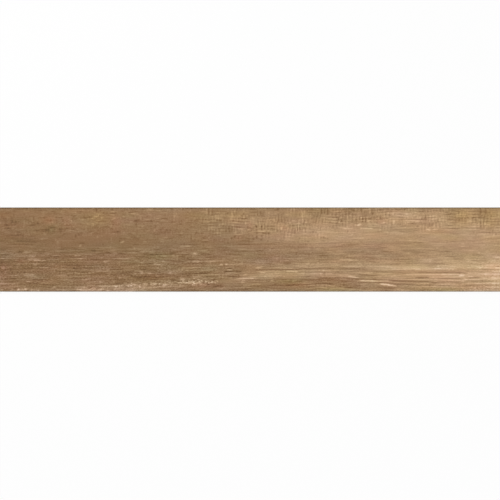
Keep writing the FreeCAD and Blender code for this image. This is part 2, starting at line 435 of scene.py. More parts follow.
MIDDLE_LEFT_STROKES = (
    (-276, -17.5, -250, -17.5, 1.3, -0.07),
    (-271, -21, -255, -21, 1.3, -0.08),
    (-275, -25, -262, -29, 1.5, 0.09),
    (-236, -11.5, -188, -11.5, 1.4, -0.06),
    (-234, -21, -195, -21, 1.2, 0.08),
    (-234, -27.5, -188, -28, 1.4, 0.06),
    (-234, -35, -200, -35.5, 1.2, 0.10),
    (-135, -9.5, -127, -9.5, 2.8, 0.14),
    (-152, -22.5, -131, -23, 1.4, -0.08),
    (-137, -28.5, -120, -27, 1.6, 0.11),
    (-120, -28.5, -104, -28.5, 1.4, 0.06),
    (-105, -28, -80, -28, 1.4, 0.11),
    (-72, -35.5, -65, -35.5, 1.8, 0.19),
    (-60, -35, -53, -34.5, 1.8, 0.19),
    (-64, -37.5, -60, -37.5, 1.8, -0.09),
    (-53, -45, -43, -45, 1.2, -0.13),
    (-53, -48.5, -43, -48.5, 1.6, 0.15),
    (-62, -52.3, -43, -52, 1.2, -0.15),
    (-53, -55.5, -43, -55.5, 1.5, 0.05),
    (-78, -94.6, -54, -94.8, 1.4, 0.07),
    (-42, -51, -20, -52, 1.6, -0.09),
    (-60, -63, -30, -64.5, 1.2, -0.09),
    (-35, -60, -24, -62, 1.3, -0.08),
    (-262, -54.5, -255, -54.5, 2.6, 0.13),
    (-242, -57, -235, -57.5, 2.4, 0.11),
    (-196, -56.5, -186, -55.5, 1.9, 0.13),
    (-290, -64, -205, -66, 3.5, -0.05),
    (-170, -55, -138, -60, 4.5, -0.05),
    (-135, -58, -85, -54, 1.8, -0.05),
    (-60, -52.5, -25, -52.5, 1.8, -0.06),
    (-110, -47, -75, -49, 2.2, 0.05),
    (-122, -61, -90, -58, 1.5, 0.07),
    (-138, -64, -117, -64, 1.3, 0.13),
    (-166, -70, -155, -69.5, 2.4, 0.12),
    (-147, -77, -135, -77, 1.6, 0.17),
    (-130, -74, -112, -73.5, 1.4, 0.09),
    (-128, -79, -100, -77, 1.4, 0.13),
    (-150, -31, -104, -31, 1.4, -0.10),
    (-198, -16.5, -154, -16.5, 1.4, -0.09),
    (-198, -28, -154, -28.5, 1.3, -0.09),
    (-98, -78.5, -84, -77, 1.4, 0.15),
    (-86, -76, -77, -74, 1.4, 0.17),
    (-139, -83, -131, -83, 1.3, 0.13),
    (-284, -81, -272, -81.2, 1.3, 0.10),
    (-298, -83.2, -262, -83, 1.4, 0.08),
    (-262, -82, -246, -82, 1.5, 0.15),
    (-246, -81.5, -228, -81.5, 1.4, 0.12),
    (-256, -90.5, -225, -90.5, 2.4, 0.06),
    (-218, -87.8, -184, -87.6, 1.4, 0.08),
    (-260, -78, -222, -78, 1.3, -0.06),
    (-256, -86, -185, -86, 1.3, -0.05),
    (-228, -82, -222, -81.5, 1.9, 0.19),
    (-216, -81, -182, -80.6, 1.4, 0.11),
    (-180, -81, -150, -81, 1.4, -0.09),
    (-148, -80.5, -112, -80.5, 2.2, 0.05),
    (-108, -81, -80, -81, 1.5, -0.08),
    (-166, -78.2, -149, -78.5, 1.4, 0.10),
    (-218, -73.6, -182, -73.5, 1.3, 0.06),
    (-298, -71.2, -222, -71.2, 1.4, -0.07),
    (-258, -51.5, -222, -51.5, 1.3, -0.06),
    (-250, -57.5, -222, -57.8, 1.3, -0.06),
    (-150, -54.5, -112, -54.8, 1.3, -0.07),
    (-108, -64, -78, -63.8, 1.3, -0.06),
    (-108, -71.5, -80, -71.5, 1.5, -0.06),
    (-110, -82.5, -90, -82.5, 1.4, -0.05),
    (-110, -87.5, -78, -87.8, 1.6, -0.07),
    (-76, -97.5, -30, -97.5, 1.3, -0.08),
    (-297, -95, -270, -95, 1.5, 0.09),
    (-88, -84.5, -66, -86, 3.6, -0.09),
    (-31, -68.5, 14, -68, 1.3, 0.21),
    (14, -69, 42, -70, 1.4, 0.07),
    (-25, -77, -13, -77.5, 1.6, 0.11),
    (-53, -65, -22, -65.5, 1.4, -0.09),
    (-183, 70, -183, 97, 1.8, -0.05),
    (-103, 84, -103, 98, 1.8, 0.10),
    (-98, 84, -98, 98, 1.5, -0.09),
    (-94, 83, -94, 98, 1.5, 0.09),
    (-89, 84, -89, 96, 1.5, -0.08),
    (-95, 34, -95, 50, 1.6, -0.04),
    (-44, 70, -43, 88, 1.6, 0.10),
    (-41, 40, -41, 63, 1.6, 0.07),
    (-181, 62, -181, 98, 1.8, 0.05),
    (-289, 88, -278, 88, 1.3, -0.09),
    (-288, 82.5, -280, 82.5, 1.2, -0.08),
    (-284, 85, -271, 86, 1.4, 0.09),
    (-274, 69, -268, 68.5, 1.4, -0.09),
    (-250, 67.5, -213, 66, 1.4, -0.06),
    (-223, 61.5, -214, 60.5, 1.5, 0.07),
    (-152, 75.5, -147, 75, 1.8, -0.09),
    (-114, 22, -99, 22, 1.3, 0.07),
    (-78, 74, -62, 74, 1.3, 0.07),
    (-96, 69.5, -81, 69, 1.3, 0.07),
    (-80, 70, -70, 69, 1.3, -0.08),
    (-127, 62, -127, 75, 1.6, 0.09),
    (-120, 61, -120, 73, 1.5, 0.08),
    (-73, 66.5, -63, 66, 2.0, 0.08),
    (-62, 56, -52, 56, 2.0, 0.05),
    (-42, 68.5, -37, 68, 1.8, -0.10),
    (-42, 90.5, -25, 91, 1.4, 0.06),
    (-22, 74, -6, 74, 1.5, -0.08),
    (-36, 59.5, 0, 59.5, 1.3, 0.07),
    (-32, 53.5, -19, 53, 1.8, -0.08),
    (-6, 52.5, 8, 52.5, 1.6, 0.07),
    (-3, 46, -3, 51, 1.6, 0.10),
    (-213, 65, -176, 65, 1.4, -0.06),
    (-277, 69, -250, 67.5, 1.6, -0.06),
    (-213, 45, -211, 49, 1.8, -0.09),
    (-200, 46.5, -195, 47, 1.6, -0.09),
    (-223, 74, -213, 74, 1.5, 0.07),
    (-213, 18.5, -205, 18.5, 1.5, 0.09),
    (-166, 8, -140, 8.5, 1.7, 0.10),
    (-152, 8.5, -145, 8.5, 1.6, 0.06),
    (-166, 11.5, -120, 12, 1.3, -0.06),
    (-116, 18.5, -100, 18, 1.3, -0.08),
    (-38, 29, -34, 33, 2.0, -0.15),
    (-46, 26, -42, 28, 1.6, -0.12),
    (-30, 12.5, 0, 12, 1.6, -0.08),
    (-70, 8, 0, 9, 1.6, 0.05),
)
MIDDLE_RIGHT_STROKES = (
    (13, -2.5, 32, -2.5, 1.5, -0.08),
    (52, -21.5, 72, -21.5, 2.0, 0.08),
    (40, -33, 52, -33, 1.3, -0.07),
    (78, -32.5, 100, -33, 1.8, -0.06),
    (90, -7, 180, -8, 1.8, -0.04),
    (130, -12, 147, -12, 1.4, -0.08),
    (165, -15, 185, -15, 1.8, -0.08),
    (165, -25, 212, -25, 2.0, -0.05),
    (212, -24.5, 243, -24.5, 1.8, 0.07),
    (15, -34, 60, -34.5, 2.0, -0.06),
    (44, -30.5, 96, -30.5, 3.0, -0.045),
    (26, -62.5, 72, -63, 2.2, 0.05),
    (60, -40.5, 165, -41, 3.2, 0.045),
    (215, -35, 265, -35, 1.3, -0.05),
    (215, -40, 262, -40, 1.6, 0.07),
    (-30, -51, 15, -51.3, 1.8, -0.05),
    (165, -53.5, 215, -53.5, 2.0, -0.05),
    (212, -52, 300, -52.5, 3.0, -0.05),
    (115, -57, 165, -57, 1.4, 0.08),
    (262, -60.5, 302, -61.5, 2.4, -0.10),
    (262, -66.2, 298, -67, 1.2, 0.06),
    (228, -69, 262, -69.5, 1.5, -0.06),
    (262, -70.3, 300, -70.8, 1.8, -0.10),
    (18, -71.5, 60, -71.5, 1.6, -0.06),
    (60, -70, 115, -71, 2.5, -0.06),
    (165, -71.3, 215, -71.5, 1.3, -0.07),
    (165, -75.8, 215, -75.8, 1.4, 0.05),
    (115, -80.5, 163, -80.5, 3.0, 0.03),
    (266, -80.5, 300, -80.7, 1.3, 0.06),
    (165, -85.5, 215, -86, 3.5, 0.05),
    (60, -87.8, 112, -88, 1.4, 0.07),
    (160, -95, 196, -95, 1.5, 0.06),
    (265, -91, 300, -91, 2.0, -0.04),
    (14, -43.5, 28, -42.5, 1.8, 0.12),
    (132, -34, 142, -33.5, 2.0, 0.10),
    (146, -35, 152, -35, 2.2, 0.12),
    (14, -47.5, 120, -47.3, 1.4, -0.10),
    (115, -46.5, 275, -47, 1.4, -0.09, 2.5),
    (86, -51, 114, -52.5, 1.8, 0.16),
    (24, -54.5, 36, -54.5, 1.3, 0.13),
    (130, -55.5, 146, -55, 1.2, -0.07),
    (165, -57, 173, -57, 1.3, 0.11),
    (179, -57.5, 195, -57, 1.4, 0.11),
    (120, -50, 196, -50.3, 2.4, 0.045, 1.0),
    (94, -35.6, 136, -35.6, 1.3, 0.055),
    (142, -33, 190, -33, 1.3, -0.05),
    (238, -58, 262, -59, 4.5, -0.055),
    (238, -81.8, 262, -82, 2.2, -0.06),
    (146, -83.6, 190, -83.6, 1.2, 0.055),
    (262, -4.6, 300, -4.6, 1.3, -0.07),
    (262, -16.5, 316, -16.5, 1.3, -0.055),
    (118, -71.5, 167, -71, 1.6, -0.10),
    (165, -69, 262, -71, 2.0, -0.07, 2.0),
    (150, -75, 240, -74, 3.0, -0.05),
    (262, -71, 300, -72, 1.2, -0.06),
    (262, -77.5, 302, -78, 1.3, -0.07),
    (212, -62, 262, -67.2, 1.3, 0.09),
    (234, -63, 252, -65.6, 1.5, 0.16),
    (261, -73.5, 297, -74.5, 2.0, 0.22),
    (50, -85.5, 92, -85.5, 1.1, -0.09),
    (88, -84.5, 142, -83.5, 1.2, -0.08),
    (142, -82, 192, -82, 1.1, -0.10, 1.0),
    (188, -82, 218, -89, 1.3, -0.11, 1.5),
    (220, -84, 237, -83.5, 1.6, -0.09),
    (224, -90, 242, -90.5, 1.6, -0.09),
    (246, -85, 266, -86, 1.8, -0.06),
    (8, 23, 8, 27, 2.2, -0.13),
    (16, 27, 16, 33, 1.6, -0.19),
    (16, 36, 16, 40, 1.5, -0.14),
    (16, 44, 16, 48, 1.5, -0.14),
    (15, 51, 15, 57, 1.6, -0.18),
    (26, 22, 27, 25, 1.8, -0.12),
    (27, 30, 27, 34, 1.6, -0.13),
    (28, 45, 28, 49, 1.8, -0.10),
    (28, 52, 28, 56, 1.8, -0.12),
    (22, 50, 22, 56, 1.5, 0.08),
    (4, 42.5, 8, 43, 1.5, 0.10),
    (28, 81, 28, 87, 3.0, -0.07),
    (66, 65, 67, 72, 2.2, -0.09),
    (66, 94, 67, 98, 2.6, -0.13),
    (106, 42, 106, 60, 1.4, -0.09),
    (109.5, 45, 109.5, 60, 1.4, 0.11),
    (113, 42, 113, 60, 1.4, -0.13),
    (115.5, 43, 115.5, 60, 1.4, 0.12),
    (118.5, 44, 118.5, 60, 1.4, -0.09),
    (125, 64, 125, 90, 1.5, 0.09),
    (150, 64.5, 157, 64.5, 1.6, -0.09),
    (168, 28.5, 180, 27.5, 1.6, -0.08),
    (170, 20, 178, 19.5, 2.0, -0.06),
    (170, 84, 170, 98, 1.8, -0.13),
    (177, 84, 177, 98, 1.6, -0.10),
    (185, 82, 185, 98, 1.6, -0.15),
    (172, 62, 172, 80, 1.6, -0.07),
    (72, 48, 78, 52, 2.4, 0.13),
    (86, 55, 87, 59, 1.6, 0.10),
    (130, 64.5, 137, 64.5, 1.5, 0.16),
    (204, 83.5, 242, 83.5, 1.3, -0.06),
    (264, 91, 264, 98, 1.8, -0.10),
    (255, 57, 263, 61, 2.2, 0.17),
    (262, 50.5, 292, 50.5, 1.3, 0.11),
    (222, 50, 243, 50, 1.4, 0.11),
    (155, 43, 186, 43, 1.3, 0.07),
    (30, 38.5, 49, 38, 2.0, -0.08),
    (22, 43, 34, 43.5, 1.5, 0.10),
    (243, 83, 253, 83, 1.5, -0.13),
    (243, 95, 250, 90, 2.0, -0.11),
    (262, 73, 288, 73, 1.5, -0.07),
    (291, 84, 291, 98, 1.8, -0.15),
    (0, 13, 60, 13, 2.2, -0.06),
    (262, 53, 298, 53, 1.6, -0.08),
    (262, 10.5, 300, 10.5, 1.6, 0.05),
    (262, 5.5, 330, 5.5, 1.8, -0.06),
)
FAR_RIGHT_STROKES = (
    (297, -71.5, 346, -73.5, 1.1, -0.06),
    (337, -75, 432, -77.5, 1.1, -0.06),
    (430, -78, 446, -78.5, 1.3, -0.10),
    (446, -76.5, 505, -76.5, 1.5, -0.07),
    (297, -75, 328, -74.6, 1.6, 0.11),
    (328, -76, 352, -77.5, 1.4, 0.07),
    (342, -70.5, 376, -71, 1.4, 0.06),
    (370, -68.6, 414, -68.6, 1.2, -0.08),
    (310, -81.7, 331, -83.4, 1.6, 0.30),
    (328, -84.4, 347, -86.4, 1.6, 0.24),
    (306, -78.3, 330, -78.6, 1.3, -0.09),
    (360, -47.4, 394, -44.8, 1.5, 0.06),
    (338, -97, 374, -97.2, 1.6, 0.07),
    (408, -30.4, 456, -30.4, 1.4, 0.045),
    (300, -22, 345, -22.5, 2.0, 0.05),
    (384, -22.5, 490, -22.3, 1.8, 0.055),
    (336, -34.5, 384, -34.5, 2.0, -0.08),
    (515, -35.5, 556, -35.5, 1.4, -0.06),
    (300, -46.2, 490, -45.5, 1.7, 0.065),
    (515, -41.5, 552, -41.5, 1.8, 0.05),
    (490, -40, 515, -40, 1.4, -0.06),
    (550, -45.5, 576, -45.5, 1.5, -0.12),
    (488, -47.4, 575, -47.5, 1.3, -0.06),
    (515, -51.8, 575, -52, 1.4, -0.10),
    (296, -52, 342, -52.5, 1.3, -0.08),
    (340, -53.8, 515, -55.3, 1.7, -0.08),
    (303, -57, 335, -57, 1.3, 0.05),
    (575, -57, 594, -57, 1.3, 0.06),
    (342, -60.5, 380, -60.5, 1.6, 0.06),
    (574, -67.5, 594, -67.6, 2.2, 0.17),
    (516, -67.5, 550, -67.5, 1.8, -0.05),
    (432, -71, 492, -71, 1.3, 0.07),
    (336, -75, 432, -75.2, 1.8, -0.10),
    (512, -74.8, 576, -75, 1.9, -0.09),
    (384, -80.5, 428, -80.7, 1.4, 0.07),
    (490, -80.5, 514, -80.5, 1.3, -0.07),
    (575, -80.6, 594, -80.6, 1.4, 0.15),
    (432, -83, 490, -83, 1.4, 0.06),
    (515, -84.5, 575, -84.8, 1.6, -0.03),
    (384, -88, 430, -88, 1.5, 0.06),
    (430, -89, 492, -89, 2.0, 0.09),
    (574, -88.5, 594, -88.7, 2.0, 0.08),
    (492, -90, 572, -90.2, 1.5, 0.05),
    (330, -79.5, 346, -82.5, 1.5, -0.08),
    (346, -82.5, 395, -82, 1.5, -0.08),
    (395, -84.5, 432, -84.5, 1.4, -0.06),
    (303, -89, 345, -93, 2.2, -0.09),
    (428, -86.5, 446, -86.5, 1.3, 0.08),
    (446, -83, 522, -83, 1.6, 0.06),
    (480, -90, 525, -90, 1.2, 0.04),
    (376, -71, 432, -71, 1.5, 0.07),
    (395, -66.5, 426, -66.5, 1.4, -0.11),
    (370, -59, 492, -59, 1.4, 0.13),
    (425, -66, 500, -66.2, 1.6, 0.07),
    (430, -68.5, 500, -68.5, 1.3, -0.09),
    (497, -61.5, 509, -61.5, 2.6, 0.17),
    (508, -71, 547, -71, 1.4, 0.12),
    (440, -56, 512, -56, 1.2, -0.05),
    (455, -73.5, 510, -73.5, 1.2, 0.06),
    (505, -80, 545, -80, 1.4, 0.04),
    (505, -88.5, 560, -88, 1.2, -0.04),
    (565, -78, 594, -79, 2.0, 0.07),
    (556, -48, 594, -48, 1.2, -0.06),
    (572, -54, 594, -54.5, 1.4, -0.05),
    (580, -60, 594, -60, 1.8, 0.08),
    (566, -90, 594, -90.5, 1.4, 0.06),
    (578, -18, 594, -20, 2.5, 0.08),
    (519, -64, 531, -64, 1.4, 0.11),
    (520, -66.5, 547, -67, 1.4, -0.08),
    (395, -54, 512, -54, 2.0, -0.05),
    (340, -50, 395, -51, 1.8, -0.05),
    (320, -40, 415, -41, 4.0, 0.05),
    (335, -46, 357, -46.5, 1.6, 0.08),
    (394, -47, 405, -47, 1.6, 0.08),
    (440, -45, 453, -45, 1.6, 0.08),
    (365, -33.4, 470, -33.4, 1.3, -0.06),
    (412, -25, 433, -25.5, 2.0, 0.08),
    (528, -26, 566, -26, 1.5, -0.09),
    (528, -12, 548, -12, 1.6, -0.06),
    (450, -4.5, 482, -4.5, 1.5, -0.06),
    (310, -4, 338, -5, 2.0, -0.05),
    (583, -40.5, 594, -40.5, 1.2, -0.12),
    (583, -43.5, 594, -43.5, 1.5, 0.15),
    (556, -58, 567, -58, 2.2, 0.09),
    (565, -71, 594, -71.5, 1.3, 0.06),
    (450, -41, 520, -40, 2.6, 0.05),
    (308, 74, 316, 71, 2.2, -0.09),
    (300, 91, 340, 91.5, 2.0, -0.05),
    (340, 95.5, 430, 95.5, 1.5, -0.09),
    (432, 93, 488, 93, 1.4, -0.07),
    (432, 61, 488, 61, 1.8, -0.05),
    (555, 64, 594, 64, 1.6, 0.05),
    (555, 31, 594, 31, 1.8, 0.05),
    (305, 97, 330, 96, 2.0, -0.07),
    (366, 94, 370, 98, 2.0, -0.10),
    (388, 91, 430, 90.5, 1.3, -0.10),
    (318, 74, 328, 74, 1.4, -0.09),
    (339, 82, 340, 88, 2.6, 0.13),
    (360, 71.5, 423, 71.5, 1.2, -0.06),
    (334, 69, 394, 69, 1.2, 0.10),
    (341, 61, 342, 69, 2.0, 0.13),
    (312, 44, 315, 58, 2.2, -0.06),
    (380, 62, 392, 63, 2.0, -0.06),
    (422, 78, 433, 78, 1.6, 0.10),
    (450, 76, 451, 80, 1.6, -0.15),
    (446, 68, 447, 72, 1.8, -0.10),
    (420, 49, 430, 45, 1.9, 0.16),
    (434, 48, 441, 48, 1.5, 0.09),
    (502, 14, 509, 14, 1.4, 0.08),
    (502, 7, 509, 7, 1.3, 0.08),
    (509, 29, 527, 29, 1.2, 0.06),
    (545, 37.8, 594, 37.8, 1.2, 0.05),
    (460, 88.5, 471, 88.5, 1.3, -0.10),
    (490, 83, 520, 83.5, 1.2, 0.08),
    (549, 52, 548, 64, 1.7, -0.11),
    (548, 84, 548, 98, 1.8, -0.10),
    (560, 84, 560, 98, 1.8, -0.11),
    (559, 76, 558, 80, 1.8, -0.10),
    (530, 40.5, 594, 40.5, 1.4, -0.08),
    (376, 21.5, 402, 22, 1.4, 0.07),
    (388, 17, 413, 16, 1.7, -0.07),
)
for stroke in FAR_LEFT_STROKES + MIDDLE_LEFT_STROKES + MIDDLE_RIGHT_STROKES + FAR_RIGHT_STROKES:
    ink_stroke(drawn, *stroke)

# All strokes stand out a little more among the long lines.
tone += drawn * (1 + 0.16 * patch(300, -60, 380, 18))

# Which way the brown leans: x, y, half sizes, how ruddy, and how golden. Below nought it leans to green and
# to purple instead.
HUE_PATCHES = (
    (-478, 69, 16, 11, 1.2, 0.3),
    (-436, 70, 12, 14, 0.8, 0.0),
    (-588, 76, 18, 16, 0.5, 0.0),
    (-586, -66, 20, 16, 0.45, -0.5),
    (-588, -44, 18, 12, 0.8, -0.4),
    (-546, -27, 12, 6, 0.9, -0.2),
    (-372, -88, 18, 7, 0.6, 0.0),
    (-318, 62, 12, 20, 0.9, -0.2),
    (-372, 76, 32, 24, 0.0, 0.80),
    (-472, 46, 11, 8, -1.1, 0.2),
    (-212, -18, 34, 22, -0.9, 0.2),
    (-95, -48, 25, 7, -0.8, 0.1),
    (-128, 78, 34, 20, 0.0, 0.5),
    (-30, 86, 45, 14, 0.0, 0.5),
    (-24, 53, 16, 10, 0.4, -0.2),
    (0, 58, 8, 10, 0.8, 0.0),
    (-28, 27, 10, 6, 0.7, -0.2),
    (80, 51, 12, 8, 0.7, 0.0),
    (60, -24, 60, 12, 0.0, -0.9),
    (190, -94, 45, 6, -0.6, 0.8),
    (75, -55, 40, 6, -0.3, 0.2),
    (90, -76, 45, 6, -0.4, 0.7),
    (505, 76, 26, 22, 0.0, 1.2),
    (570, 84, 30, 18, 0.0, 1.0),
    (572, 58, 26, 12, -0.2, 0.7),
    (455, -95, 50, 5, -0.5, 1.0),
    (200, -72, 50, 5, 0.4, 0.2),
    (115, -82, 25, 5, 0.8, 0.0),
    (-105, -84, 20, 5, 0.6, 0.0),
    (-72, -86, 14, 6, 0.7, 0.0),
    (312, 66, 12, 10, 0.6, -0.2),
    (-500, 86, 110, 14, 0.4, 0.45),
    (-360, 38, 50, 14, 0.3, 0.0),
    (-245, -32, 45, 11, -0.5, 0.0),
    (-165, -48, 75, 10, -0.45, -0.2),
    (-250, -65, 45, 9, 0.45, 0.35),
    (-210, -84, 35, 9, -0.3, -0.4),
    (-400, -85, 50, 9, -0.2, -0.35),
    (-25, -22, 42, 20, -0.4, -0.25),
    (30, -65, 30, 9, -0.6, 0.0),
    (90, -86, 38, 10, 0.0, 0.4),
    (135, 86, 70, 14, 0.0, 0.45),
    (180, 62, 50, 12, 0.35, 0.3),
    (190, -34, 75, 9, 0.0, -0.3),
    (327, 13, 40, 14, 0.35, 0.0),
    (490, -66, 95, 20, 0.3, -0.1),
    (580, -50, 28, 16, 0.5, 0.0),
    (-300, 2, 310, 22, -0.4, -0.45),
    (-580, -8, 30, 16, -0.3, -0.4),
    (-208, 6, 40, 18, -0.2, 0.0),
    (-300, -68, 320, 22, -0.2, -0.1),
    (-300, -93, 280, 8, -0.2, -0.6),
    (-560, -66, 50, 9, -0.2, 0.0),
    (0, -88, 70, 10, -0.25, 0.0),
    (-400, 72, 70, 24, 0.1, 0.4),
    (550, 60, 50, 12, 0.0, 0.35),
    (140, 86, 150, 12, 0.0, 0.25),
    (-520, 35, 90, 30, -0.12, 0.0),
    (-585, -16, 20, 16, -0.15, -0.4),
    (-20, -70, 130, 16, -0.15, 0.0),
    (280, -32, 60, 9, -0.25, 0.0),
    (445, -47, 50, 9, -0.22, 0.0),
    (480, -10, 60, 12, -0.2, 0.0),
    (180, -55, 50, 16, 0.0, -0.25),
    (0, -8, 50, 12, -0.25, 0.0),
    (175, 32, 60, 36, 0.22, 0.0),
    (-265, -40, 30, 16, -0.3, 0.1),
    (-545, 60, 45, 12, 0.0, -0.35),
    (-575, -8, 24, 28, 0.0, -0.3),
    (-30, 38, 26, 12, 0.0, -0.35),
    (360, -42, 45, 7, -0.25, 0.35),
    (400, 38, 160, 11, 0.18, 0.1),
    (-530, -60, 60, 20, -0.22, 0.0),
    (265, 85, 30, 14, 0.25, 0.2),
)
ruddy = 0.4 * drift(along, across, 45, 12, 61)
golden = 0.45 * drift(along, across, 50, 14, 62)
for *oval, more_ruddy, more_golden in HUE_PATCHES:
    ruddy += more_ruddy * patch(*oval)
    golden += more_golden * patch(*oval)

# The print is also greyer near the edge, where the painted edge shade lies, most along the lower side.
GREY_REACH = 3.4
edge_band = np.exp(-((rim / GREY_REACH) ** 2))
ruddy -= edge_band * (1.2 + 0.4 * smooth_step(0, -60, across))
golden -= edge_band * (0.4 + 1.2 * smooth_step(0, -60, across))

# The lime wash left in the brushed grain is greyer than the wood's own pale inks.
LIME_GREYER = 5
golden -= LIME_GREYER * np.clip(drawn, 0, 0.2) * brushed * (1 - 0.5 * np.clip(worn, 0, 1)) + 0.2 * worn

# The relief that the punch presses into the face: slow waviness, furrows and scratches along the grain, and
# the drawn lines, which lie deeper where they are dark. All of it lies below the face's highest plane, and
# the depths are in millimetres.
WAVE_DEPTH = 0.10
FURROW_DEPTH = 0.12
SCRATCH_DEPTH = 0.05
DARKEST_LINE = 0.1
DARKEST_LINE_DEPTH = 0.12
furrows = np.abs(drift(along, grain, 95, 4.0, 41)) ** 0.7
depth = WAVE_DEPTH * (1 + drift(along, across, 180, 34, 42)) / 2
depth += FURROW_DEPTH * (1 - furrows) * (0.4 + 0.6 * lively)
depth += SCRATCH_DEPTH * (1 + drift(along, grain, 40, 3.0, 43)) / 2
depth += DARKEST_LINE_DEPTH * np.clip(-drawn / DARKEST_LINE, 0, 1)
face_height = THICKNESS - (depth - depth.min()) * MM

# The face's border as one loop of points, anticlockwise from above, which the rings of the sides repeat.
face_number = np.arange(along.size).reshape(along.shape)
border = np.concatenate(
    (face_number[:-1, 0], face_number[-1, :-1], face_number[:0:-1, -1], face_number[0, :0:-1])
)
face_points = np.stack((along * MM, across * MM, face_height), -1).reshape(-1, 3)
face_half = np.array((LENGTH / 2 - FACE_BEVEL, WIDTH / 2 - FACE_BEVEL))


def side_ring(inset, height):
    """The border's points spread to the rectangle that lies inset from the slab's sides, at one height."""
    half = np.array((LENGTH / 2 - inset, WIDTH / 2 - inset))
    flat = face_points[border, :2] * half / face_half
    return np.column_stack((flat, np.full(len(flat), height)))


def cell_ring(half_length, half_width, corner, height):
    """A rounded rectangle, 8 points to a side. Each side starts at the middle of a corner's arc, leaves it,
    runs straight and enters the next arc; the four sides are the same side turned by quarter turns."""
    lean = np.radians((-45, -22.5, 0, 0, 0, 0, 0, 22.5))
    run = np.array((-1, -1, -1, -0.5, 0, 0.5, 1, 1))
    sides = []
    for turn in range(4):
        reach, away = (half_length, half_width) if turn % 2 == 0 else (half_width, half_length)
        x = run * (reach - corner) + corner * np.sin(lean)
        y = corner - away - corner * np.cos(lean)
        cosine, sine = np.cos(turn * np.pi / 2), np.sin(turn * np.pi / 2)
        sides.append(np.stack((x * cosine - y * sine, x * sine + y * cosine), 1))
    flat = np.concatenate(sides)
    return np.column_stack((flat, np.full(len(flat), height)))


def rectangle_loop(x, y):
    """The edge of a grid on the back plane, anticlockwise from above: along its bottom, up its right side,
    back along its top and down its left side."""
    flat = np.concatenate(
        (
            np.stack((x[:-1], np.full(len(x) - 1, y[0])), 1),
            np.stack((np.full(len(y) - 1, x[-1]), y[:-1]), 1),
            np.stack((x[:0:-1], np.full(len(x) - 1, y[-1])), 1),
            np.stack((np.full(len(y) - 1, x[0]), y[:0:-1]), 1),
        )
    )
    return np.column_stack((flat, np.zeros(len(flat))))


# The back: each cell is three rings, its share of the rib lattice, its mouth and its floor. Rings of the
# lattice that meet share their points, and so does the lattice's own edge.
cell_length = (LENGTH - 2 * BACK_BORDER - (CELL_COLUMNS - 1) * RIB) / CELL_COLUMNS
cell_width = (WIDTH - 2 * BACK_BORDER - (CELL_ROWS - 1) * RIB) / CELL_ROWS
pitch = np.array((cell_length + RIB, cell_width + RIB))
share_steps = np.linspace(-0.5, 0.5, CELL_SIDE_STEPS + 1)
floor_half = np.array((cell_length, cell_width)) / 2 - CELL_DEPTH
one_cell = np.stack(
    (
        rectangle_loop(share_steps * pitch[0], share_steps * pitch[1]),
        cell_ring(cell_length / 2, cell_width / 2, CELL_CORNER, 0),
        cell_ring(*floor_half, CELL_CORNER - CELL_DEPTH, CELL_DEPTH),
    )
)
column, row = np.meshgrid(np.arange(CELL_COLUMNS), np.arange(CELL_ROWS), indexing="ij")
middle_x = (column - (CELL_COLUMNS - 1) / 2) * pitch[0]
middle_y = (row - (CELL_ROWS - 1) / 2) * pitch[1]
cells = np.stack((middle_x, middle_y, np.zeros(column.shape)), -1).reshape(-1, 1, 1, 3) + one_cell
lattice_edge = rectangle_loop(
    np.linspace(-0.5, 0.5, CELL_COLUMNS * CELL_SIDE_STEPS + 1) * pitch[0] * CELL_COLUMNS,
    np.linspace(-0.5, 0.5, CELL_ROWS * CELL_SIDE_STEPS + 1) * pitch[1] * CELL_ROWS,
)
loose_back = np.concatenate((cells.reshape(-1, 3), lattice_edge))
SAME_POINT = MM / 1000
whole_steps = np.round(loose_back / SAME_POINT).astype(int)
_, first, joined = np.unique(whole_steps, axis=0, return_index=True, return_inverse=True)
back_points = loose_back[first]

# All points in one list, and the polygons that join them, each with its corners anticlockwise from outside.
rings = np.stack((side_ring(0, THICKNESS - FACE_BEVEL), side_ring(0, BACK_ARRIS), side_ring(BACK_ARRIS, 0)))
points = np.concatenate((face_points, rings.reshape(-1, 3), back_points))
ring_number = len(face_points) + np.arange(rings.shape[0] * rings.shape[1]).reshape(rings.shape[:2])
loops = np.concatenate((border[None], ring_number))
back_number = len(face_points) + ring_number.size + joined.ravel()
cell_number = back_number[: cells[..., 0].size].reshape(cells.shape[:3])
edge_number = back_number[cells[..., 0].size :]

face_quads = np.stack(
    (face_number[:-1, :-1], face_number[1:, :-1], face_number[1:, 1:], face_number[:-1, 1:]), -1
)
upper, lower = loops[:-1], loops[1:]
side_quads = np.stack((lower, np.roll(lower, -1, 1), np.roll(upper, -1, 1), upper), -1)
outer, inner = cell_number[:, :-1], cell_number[:, 1:]
cell_quads = np.stack((outer, inner, np.roll(inner, -1, 2), np.roll(outer, -1, 2)), -1)
cell_floors = cell_number[:, -1, ::-1]

# The plain band around the cells joins each step of the lattice's edge to the finer steps of the back arris.
lattice_steps = (CELL_COLUMNS * CELL_SIDE_STEPS, CELL_ROWS * CELL_SIDE_STEPS)
finer = (FACE_STEPS_ALONG // lattice_steps[0], FACE_STEPS_ACROSS // lattice_steps[1])
fine_steps = np.tile(np.repeat(finer, lattice_steps), 2)
fine_end = np.cumsum(fine_steps)
arris_loop = np.append(loops[-1], loops[-1, 0])
border_band = [
    [near, far, *arris_loop[end - count : end + 1][::-1]]
    for near, far, end, count in zip(edge_number, np.roll(edge_number, -1), fine_end, fine_steps)
]
polygons = face_quads.reshape(-1, 4).tolist() + side_quads.reshape(-1, 4).tolist()
polygons += cell_quads.reshape(-1, 4).tolist() + cell_floors.tolist() + border_band
slab_mesh = bpy.data.meshes.new("printed_plank")
slab_mesh.from_pydata(points, [], polygons)
